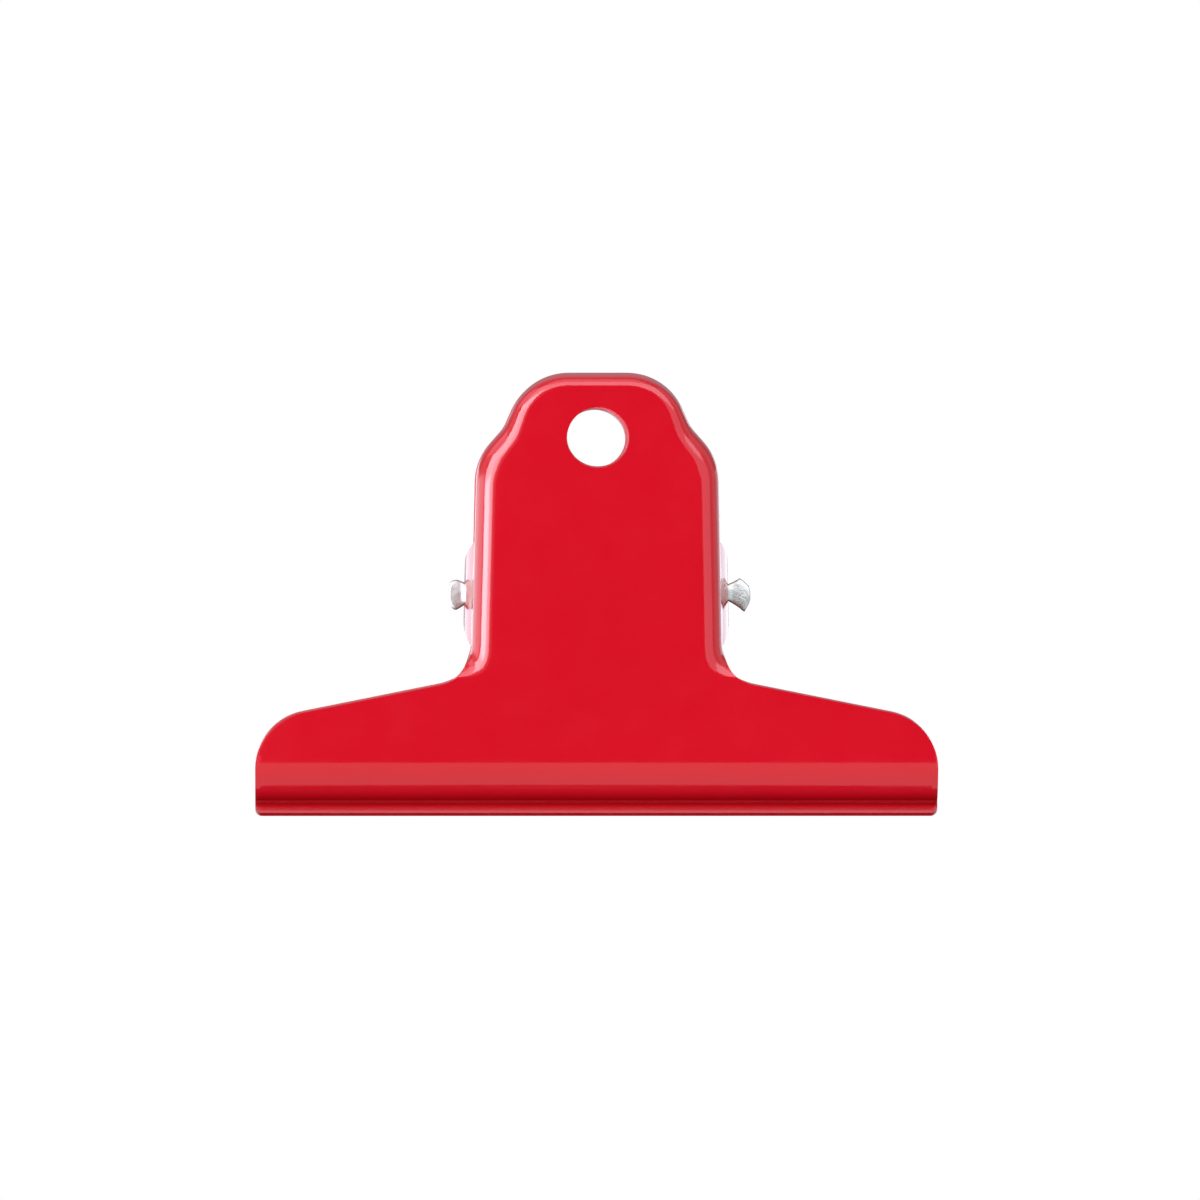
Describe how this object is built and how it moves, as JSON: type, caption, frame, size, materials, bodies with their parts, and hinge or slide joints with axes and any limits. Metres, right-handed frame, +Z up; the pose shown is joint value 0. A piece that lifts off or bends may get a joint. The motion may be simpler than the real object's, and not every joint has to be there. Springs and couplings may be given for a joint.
{
  "type": "letter clip",
  "caption": "Sprung letter clip of red lacquered sheet steel with wide jaws and a hanging hole in each handle, for holding and hanging papers.",
  "frame": {"origin": "middle of the closed clip, at the height of the lips' lower edges", "axes": "+X along the pin and the jaws, +Y from the front handle to the rear one, +Z up from the jaws to the handles"},
  "size_m": [0.06, 0.0228, 0.0389],
  "materials": {
    "red_lacquer": "gloss stoved lacquer",
    "plated_steel": "hammered, bright plated",
    "spring_steel": "drawn wire, bright plated"
  },
  "bodies": {
    "front_half": {"front_plate": "red_lacquer", "pivot_pin": "plated_steel", "torsion_spring": "spring_steel"},
    "rear_half": {"rear_plate": "red_lacquer"}
  },
  "joints": [
    {"name": "jaw_hinge", "type": "hinge", "parent": "front_half", "child": "rear_half", "pos_m": [0, 0, 0.0196], "axis": [1, 0, 0], "range_deg": [0, 48], "stiffness_Nm_per_rad": 0.12, "springref_deg": -45.84, "deforming": ["torsion_spring"]}
  ]
}
